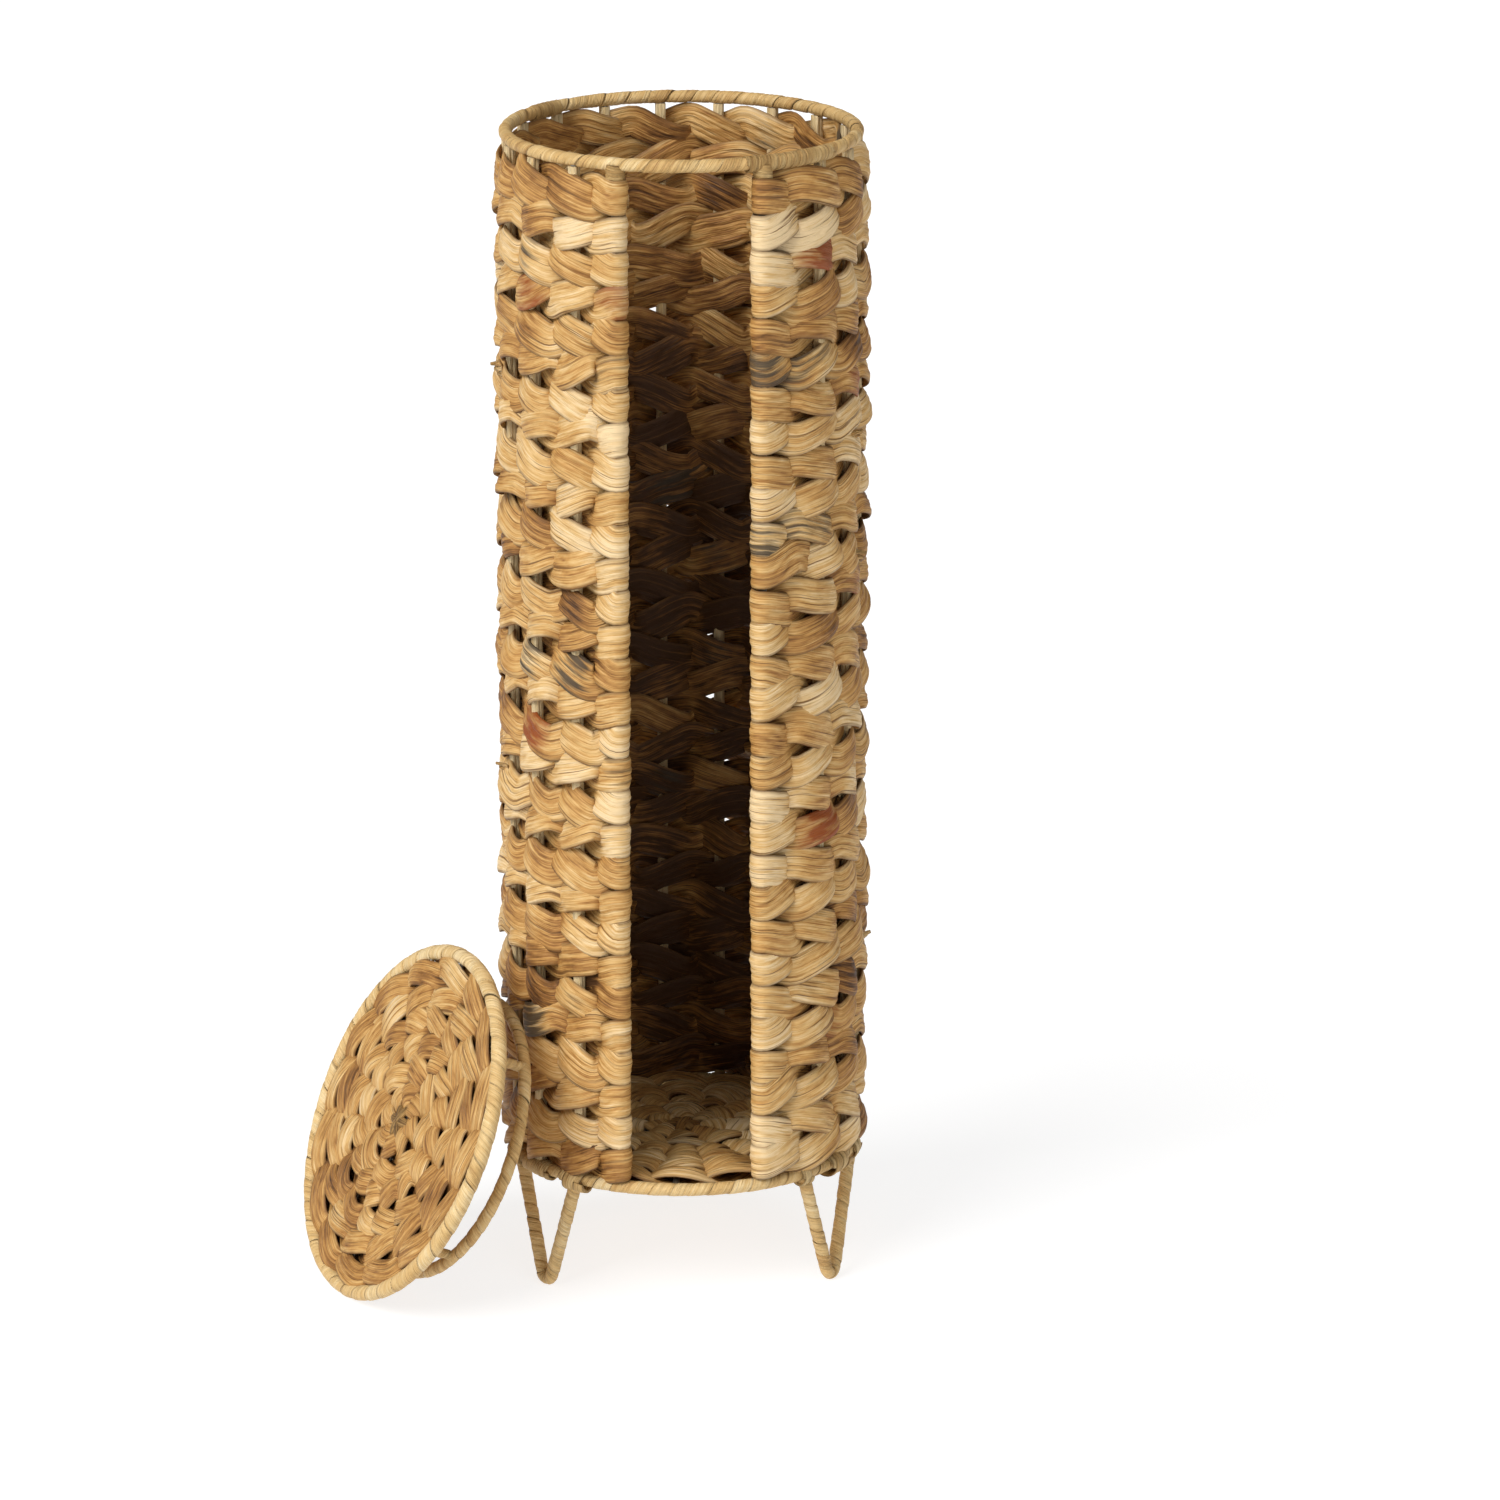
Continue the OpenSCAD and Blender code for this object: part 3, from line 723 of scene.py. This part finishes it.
def winding(skin, line, plane, radius, pitch, closed, width=1.2, thick=0.8 * MM, lap=0.35 * MM, base=0.5,
            sides=12, per_turn=18, spread=0.1):
    """A strip wound round a wire. At turn angle a its middle is pitch a / 2 pi along the wire. A point of its
    section that is w across the strip lies w cos(h) further along and w sin(h) / radius back round the wire,
    with h the winding's slope, and stands off it by the radius less a lap that grows towards one edge, so
    that each turn covers the last one's edge. The strip is width pitches wide.
    """
    line = np.asarray(line, float)
    ring = np.vstack([line, line[:1]]) if closed else line
    run = np.r_[0, np.cumsum(np.linalg.norm(np.diff(ring, axis=0), axis=1))]
    length = run[-1]
    turns = max(round(length / pitch), 1)
    pitch = length / turns
    tangent = unit(np.roll(line, -1, 0) - np.roll(line, 1, 0)) if closed else unit(np.gradient(line, axis=0))
    side = unit(np.cross(tangent, plane))
    up = np.cross(side, tangent)
    if closed:
        side, up = (np.vstack([a, a[:1]]) for a in (side, up))

    rows = turns * per_turn
    a = np.linspace(0, 2 * np.pi * turns, rows, endpoint=not closed)
    slope = math.atan2(pitch, 2 * np.pi * radius)
    x, y, around = flat_section(sides)
    wobble = skin.drift(a / (2 * np.pi) * pitch, closed, 2)
    half = 0.5 * width * pitch * math.cos(slope) * (1 + 0.12 * wobble[1])[:, None]
    w = -half * x
    s = (a / (2 * np.pi) * pitch + 0.07 * pitch * wobble[0])[:, None] + w * math.cos(slope)
    angle = a[:, None] - w * math.sin(slope) / radius
    reach = radius - 0.5 * thick + 0.5 * thick * y + lap * (x - 1) * 0.5 + 0.08 * MM * wobble[0][:, None]
    s = np.mod(s, length) if closed else np.clip(s, 0, length)

    def at(values):
        return np.stack([np.interp(s, run, column) for column in values.T], -1)

    off_wire = np.cos(angle)[..., None] * at(side) + np.sin(angle)[..., None] * at(up)
    points = at(ring) + reach[..., None] * off_wire
    marks = tones(skin.rng, max(turns, 2), base, spread, 0, 0.01)
    tone = eased(marks, a / (2 * np.pi))
    step = 2 * np.pi * radius / per_turn / math.cos(slope)
    skin.grid(points, step * np.arange(rows + 1), around * STREAK_HALF, tone, closed)


def circle(centre, axis, radius, count=360):
    """Points round a circle."""
    first, second = square_to(axis)
    a = np.linspace(0, 2 * np.pi, count, endpoint=False)
    return centre + radius * (np.cos(a)[:, None] * first + np.sin(a)[:, None] * second)


# Each wound ring: its wire, new piece and body, and the pitch, outer diameter and tone of its winding
WOUND_RINGS = (
    ("top_ring", "top_ring_winding", "holder", 10.5 * MM, 6.3 * MM, 0.4),
    ("bottom_ring", "bottom_ring_winding", "holder", 9 * MM, 6.3 * MM, 0.45),
    ("lid_rim", "lid_rim_winding", "lid", 11.5 * MM, 7.5 * MM, 0.54))


def ring_windings():
    """The wound rings: upper and lower ring of the holder, and the lid's rim."""
    for node, name, body, pitch, wound_d, tone in WOUND_RINGS:
        centre, axis, radius, _ = ring_of(node)
        skin = Skin(SEED + len(name))
        winding(skin, circle(centre, axis, radius), axis, wound_d / 2, pitch, True, base=tone)
        skin.piece(name, WRAPPED, body, "wrapping_strand", node + "_wrap")


ring_windings()

LOCATING_WIRE_D = 3.2 * MM
LOCATING_WOUND_R = 3.05 * MM
STAY_WOUND_R = 2.55 * MM


def locating_ring():
    """The locating ring and its stays, wound. The ring's plane is the lid's, moved down its axis."""
    points = node_points("locating_frame") - LID_CENTRE
    height = points @ LID_AXIS
    reach = np.linalg.norm(points - height[:, None] * LID_AXIS, axis=1)
    drop = height.min() + LOCATING_WIRE_D / 2
    radius = reach.max() - LOCATING_WIRE_D / 2
    centre = LID_CENTRE + drop * LID_AXIS
    skin = Skin(SEED + 90)
    winding(skin, circle(centre, LID_AXIS, radius), LID_AXIS, LOCATING_WOUND_R, 9 * MM, True, base=0.42)
    stays = points[height > drop + 3 * LOCATING_WIRE_D]
    first, second = square_to(LID_AXIS)
    for a in np.radians(middles(np.degrees(np.arctan2(stays @ second, stays @ first)))):
        outward = np.cos(a) * first + np.sin(a) * second
        foot = centre + radius * outward
        line = foot + np.linspace(0, -drop - 3.6 * MM, 30)[:, None] * LID_AXIS
        winding(skin, line, outward, STAY_WOUND_R, 6 * MM, False, base=0.45)
    return skin.piece("locating_ring_winding", WRAPPED, "lid", "wrapping_strand", "locating_frame_wrap")


locating_ring()

# Angle round the lower ring between a leg's two tops, and where its foot is and how it bends
LEG_TOP_SPREAD = 34
FOOT_R = 80 * MM
FOOT_BEND_R = 4.2 * MM
LEG_WOUND_D = 6.4 * MM
# Bearing of each leg, and how far its foot is bent sideways
LEGS = (("front_left_leg", -58, 5.5 * MM), ("front_right_leg", 58, -5.5 * MM), ("rear_leg", 180, 0.0))


def leg_line(bearing, shift):
    """A hairpin: straight from the lower ring to a round bend at the foot and up again, in a leaning plane.

    In that plane x runs across and y up from the foot. A side touches the bend at the angle to the top of
    that side, less the angle whose cosine is the bend's radius over the distance between them.
    """
    outward, around = plan(np.array(float(bearing)))
    half = math.radians(LEG_TOP_SPREAD / 2)
    foot = FOOT_R * outward + [0, 0, LEG_WOUND_D / 2]
    top = FRAME_R * math.cos(half) * outward + np.array([0, 0, BOTTOM_RING[0][2]])
    up = top - foot
    rise = np.linalg.norm(up)
    up = up / rise
    middle = np.array([shift, FOOT_BEND_R])
    ends, angles = [], []
    for side in (-1, 1):
        end = np.array([side * FRAME_R * math.sin(half), rise])
        d = end - middle
        angles.append(math.atan2(d[1], d[0]) - side * math.acos(FOOT_BEND_R / np.linalg.norm(d)))
        ends.append(end)
    bend = np.linspace(angles[0], angles[1] + 2 * np.pi, 25)
    curve = middle + FOOT_BEND_R * np.stack([np.cos(bend), np.sin(bend)], 1)
    left, right = np.linspace(ends[0], curve[0], 40)[:-1], np.linspace(curve[-1], ends[1], 40)[1:]
    flat = np.vstack([left, curve, right])
    return foot + flat[:, :1] * around + flat[:, 1:] * up, np.cross(around, up)


def legs():
    """The windings of the three legs, each round the hairpin that its wire follows."""
    for node, bearing, shift in LEGS:
        line, plane = leg_line(bearing, shift)
        skin = Skin(SEED + 100 + bearing)
        winding(skin, line, plane, LEG_WOUND_D / 2, 6.6 * MM, False, base=0.42, spread=0.14)
        skin.piece(node + "_winding", WRAPPED, "holder", "wrapping_strand", node + "_wrap")


legs()

UPRIGHT_STRIP_W = 4.6 * MM
UPRIGHT_STRIP_T = 2.6 * MM


def upright_strands():
    """The split strand bound along each upright, which shows in the gaps of the weave and under the ring."""
    skin = Skin(SEED + 120)
    z = np.linspace(BOTTOM_RING[0][2] + 3 * MM, TOP_RING[0][2] - 3 * MM, 60)
    for outward in plan(UPRIGHTS)[0]:
        line = FRAME_R * outward + z[:, None] * UP
        for side in (1, -1):
            skin.strand(line + side * MM * outward, np.tile(side * outward, (len(z), 1)), UPRIGHT_STRIP_W,
                        UPRIGHT_STRIP_T, one_tone(skin.rng, len(z), 1.0), step=6 * MM, sides=14,
                        pleat=0.15 * MM)
    return skin.piece("upright_strands", WRAPPED, "holder", "wrapping_strand", "upright_wraps")


upright_strands()


# Lashings

# Around the lower ring, at the legs and beside them in front. Each has a bearing, half the angle it covers,
# and its radius and pitch in millimetres
LASHINGS = (
    (-41, 4.6, 5.6, 5.4), (-60, 8, 4.6, 4.8), (-75, 5, 5.2, 4.4), (41, 2.4, 4.8, 4.0),
    (59, 6.5, 5.5, 6.2), (75, 5, 5.0, 4.4), (163, 5, 5.2, 4.6), (197, 5, 5.2, 4.6))
# Stretches of heavier winding on the upper ring: the bearing of the middle, and the angle covered
RIM_PATCHES = ((36, 36), (-130, 14))


def leg_lashings():
    """Strands wound several times round the lower ring where each side of a leg meets it."""
    skin = Skin(SEED + 130)
    centre = BOTTOM_RING[0] - [0, 0, 1.0 * MM]
    for bearing, half, radius, pitch in LASHINGS:
        outward = plan(np.linspace(bearing - half, bearing + half, 24))[0]
        winding(skin, centre + FRAME_R * outward, UP, radius * MM, pitch * MM, False, width=1.35,
                thick=1.1 * MM, lap=0.8 * MM, base=0.72, per_turn=24)
    return skin.piece("leg_lashings_wound", LASHED, "holder", "lashing_strand", "leg_lashings")


leg_lashings()


def rim_lashings():
    """Bindings at the tops of the posts, and the stretches of heavier winding on the upper ring."""
    skin = Skin(SEED + 140)
    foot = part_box(WALL_NODES[-1])[1].z
    z = np.linspace(foot - 1 * MM, TOP_RING[0][2], 30)
    for bearing in (LEFT_POST, RIGHT_POST):
        outward = plan(np.array(float(bearing)))[0]
        winding(skin, FRAME_R * outward + z[:, None] * UP, outward, 4.4 * MM, 3.2 * MM, False, width=1.5,
                base=0.55)
    for bearing, angle in RIM_PATCHES:
        outward = plan(np.linspace(bearing - angle / 2, bearing + angle / 2, 60))[0]
        winding(skin, TOP_RING[0] - [0, 0, 0.4 * MM] + FRAME_R * outward, UP, 3.8 * MM, 3.4 * MM, False,
                width=1.6, thick=1.1 * MM, lap=0.5 * MM, base=0.45)
    return skin.piece("rim_lashings_wound", LASHED, "holder", "lashing_strand", "rim_lashings")


rim_lashings()

# Cut ends that stick out of the wall: bearing, height and climb, length and tone, in degrees and millimetres
LOOSE_ENDS = (
    (-77, 235, 10, 8, 0.5), (62, 392, 12, 8, 0.5), (66, 338, -20, 8, 0.55), (80, 150, 25, 7, 0.6),
    (-84, 420, -15, 7, 0.55), (150, 300, 20, 9, 0.5), (-140, 190, -25, 8, 0.5), (110, 460, 15, 8, 0.55))


def loose_ends():
    """Three fibres at each loose end. Each leaves the wall along it, bends outwards with the square of its
    run, and tapers.
    """
    skin = Skin(SEED + 150)
    t = np.linspace(0, 1, 14)
    for bearing, height, climb, length, base in LOOSE_ENDS:
        outward, around = plan(np.array(float(bearing)))
        along = unit(math.cos(math.radians(climb)) * around * (1 if bearing > 0 else -1)
                     + math.sin(math.radians(climb)) * UP)
        for k in range(3):
            bend = 0.25 + 0.16 * k
            points = ((FRAME_R + (2.2 + 0.6 * k) * MM) * outward + (height * MM + (k - 1) * 2.2 * MM) * UP
                      + (t * length * MM)[:, None] * along * (1 - 0.12 * k)
                      + (bend * length * MM * t ** 2)[:, None] * outward)
            skin.strand(points, np.tile(outward, (len(t), 1)), (4.2 - 2.6 * t) * MM, 0.9 * MM,
                        one_tone(skin.rng, len(t), base), step=1.2 * MM, sides=10, pleat=0.1 * MM,
                        fold=0.1 * MM, lean=0.5 * (k - 1))
    return skin.piece("loose_strand_ends", WOVEN, "holder", "woven_strand")


loose_ends()


# Wires kept from the frame

wire = drawn_wire()
for obj in frame["nodes"].values():
    if not obj.hide_render:
        obj.data.materials.clear()
        obj.data.materials.append(wire)


# Floor, light and camera

FLOOR_HALF = 9.0
# The camera's place, its slope in degrees and its heading in plan
CAMERA_AT = (-0.15197, -3.2646, 1.1879)
CAMERA_DOWN = 16.19
CAMERA_HEADING = (0.0558, 0.9984)


def floor():
    """A white sweep that glows a little, as on a light table, so that shadows on it stay faint."""
    mesh = bpy.data.meshes.new("floor")
    corners = [(x * FLOOR_HALF, y * FLOOR_HALF, 0) for x, y in ((-1, -1), (1, -1), (1, 1), (-1, 1))]
    mesh.from_pydata(corners, [], [(0, 1, 2, 3)])
    obj = bpy.data.objects.new("floor", mesh)
    bpy.context.scene.collection.objects.link(obj)
    material, tree, shader = new_material("pale_floor")
    shader.inputs["Base Color"].default_value = colour("#9c9c9c")
    shader.inputs["Roughness"].default_value = 1.0
    shader.inputs["Specular IOR Level"].default_value = 0.0
    shader.inputs["Emission Color"].default_value = (1, 1, 1, 1)
    shader.inputs["Emission Strength"].default_value = 0.79
    mesh.materials.append(material)


def soft_sun(name, azimuth, elevation, spread, strength):
    """A soft far light, spread degrees wide. Azimuth 0 is in front of the slot and grows to the right."""
    light = bpy.data.lights.new(name, "SUN")
    light.energy = strength
    light.angle = math.radians(spread)
    obj = bpy.data.objects.new(name, light)
    a, e = math.radians(azimuth), math.radians(elevation)
    towards = Vector((math.sin(a) * math.cos(e), -math.cos(a) * math.cos(e), math.sin(e)))
    obj.rotation_euler = towards.to_track_quat("Z", "Y").to_euler()
    bpy.context.scene.collection.objects.link(obj)


def world(strength):
    """An even white sky."""
    made = bpy.data.worlds.new("studio")
    made.use_nodes = True
    made.node_tree.nodes["Background"].inputs[0].default_value = (1, 1, 1, 1)
    made.node_tree.nodes["Background"].inputs[1].default_value = strength
    bpy.context.scene.world = made


def camera():
    """The photograph's viewpoint, a little to the left and looking down, with a long lens."""
    data = bpy.data.cameras.new("camera")
    data.sensor_width = 36
    data.lens = 180
    data.clip_end = 50
    obj = bpy.data.objects.new("camera", data)
    obj.location = CAMERA_AT
    down = math.radians(CAMERA_DOWN)
    ahead = Vector((CAMERA_HEADING[0] * math.cos(down), CAMERA_HEADING[1] * math.cos(down), -math.sin(down)))
    obj.rotation_euler = ahead.to_track_quat("-Z", "Y").to_euler()
    bpy.context.scene.collection.objects.link(obj)
    bpy.context.scene.camera = obj


floor()
world(0.14)
soft_sun("key", -50, 40, 40, 2.93)
soft_sun("fill", 25, 24, 50, 0.6)
soft_sun("top", 20, 78, 50, 0.5)
camera()
bpy.context.scene.view_settings.view_transform = "Standard"
